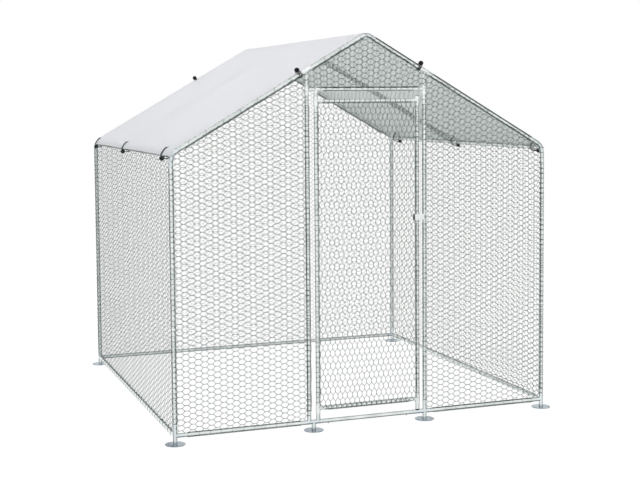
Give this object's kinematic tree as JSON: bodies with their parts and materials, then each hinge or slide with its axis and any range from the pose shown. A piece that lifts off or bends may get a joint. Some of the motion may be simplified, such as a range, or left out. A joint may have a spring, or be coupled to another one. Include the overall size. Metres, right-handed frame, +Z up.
{
  "type": "chicken run",
  "caption": "Walk-in gabled poultry run: tube frame on disc feet covered with hexagonal wire netting, with a netted hinged door, hasp latch and a sheet tied over the roof.",
  "frame": {"origin": "on the ground under the middle of the run", "axes": "+X to the right of someone facing the door, +Y from the door to the back, +Z up"},
  "size_m": [2.1, 2.0998, 1.9883],
  "materials": {
    "tube": "zinc-plated, satin",
    "fitting": "zinc-plated, satin",
    "sleeve": "bright zinc",
    "foot": "bright zinc, slightly blue",
    "netting": "galvanised wire",
    "sheet": "coated woven sheet, satin",
    "eyelet": "satin",
    "cord": "matt black",
    "ball": "satin black",
    "cap": "matt black",
    "latch_black": "satin black",
    "latch_metal": "zinc-plated",
    "screw": "zinc-plated"
  },
  "bodies": {
    "frame": {"corner_post_front_left": "tube", "corner_fitting_front_left": "fitting", "eave_bend_front_left": "fitting", "rafter_front_left": "tube", "corner_post_front_right": "tube", "corner_fitting_front_right": "fitting", "eave_bend_front_right": "fitting", "rafter_front_right": "tube", "corner_post_rear_left": "tube", "corner_fitting_rear_left": "fitting", "eave_bend_rear_left": "fitting", "rafter_rear_left": "tube", "corner_post_rear_right": "tube", "corner_fitting_rear_right": "fitting", "eave_bend_rear_right": "fitting", "rafter_rear_right": "tube", "eave_tube_left": "tube", "side_rail_left": "tube", "front_rail_left": "tube", "door_post_left": "tube", "door_base_left": "fitting", "header_tee_left": "sleeve", "side_net_left": "netting", "roof_net_left": "netting", "front_net_left": "netting", "eave_tube_right": "tube", "side_rail_right": "tube", "front_rail_right": "tube", "door_post_right": "tube", "door_base_right": "fitting", "header_tee_right": "sleeve", "side_net_right": "netting", "roof_net_right": "netting", "front_net_right": "netting", "apex_bends": "fitting", "ridge_tube": "tube", "rear_rail": "tube", "door_threshold": "tube", "header_tube": "tube", "rafter_tees": "sleeve", "disc_feet": "foot", "frame_screws": "screw", "rear_net": "netting", "gable_net": "netting", "roof_sheet": "sheet", "sheet_eyelets": "eyelet", "ball_loops": "cord", "loop_balls": "ball", "latch_staple": "latch_metal"},
    "door": {"door_hinge_stile": "tube", "door_latch_stile": "tube", "door_top_bar": "tube", "door_bottom_bar": "tube", "door_tees": "sleeve", "door_net": "netting", "stile_caps": "cap", "hasp_bracket": "latch_black", "hasp_pin": "screw"},
    "hasp": {"hasp_plate": "latch_metal"}
  },
  "joints": [
    {"name": "door_hinge", "type": "hinge", "parent": "frame", "child": "door", "pos_m": [-0.268, -1, 0.8], "axis": [0, 0, -1], "range_deg": [0, 120]},
    {"name": "hasp_hinge", "type": "hinge", "parent": "door", "child": "hasp", "pos_m": [0.253, -1.0145, 1.05], "axis": [0, 0, -1], "range_deg": [0, 160]}
  ]
}
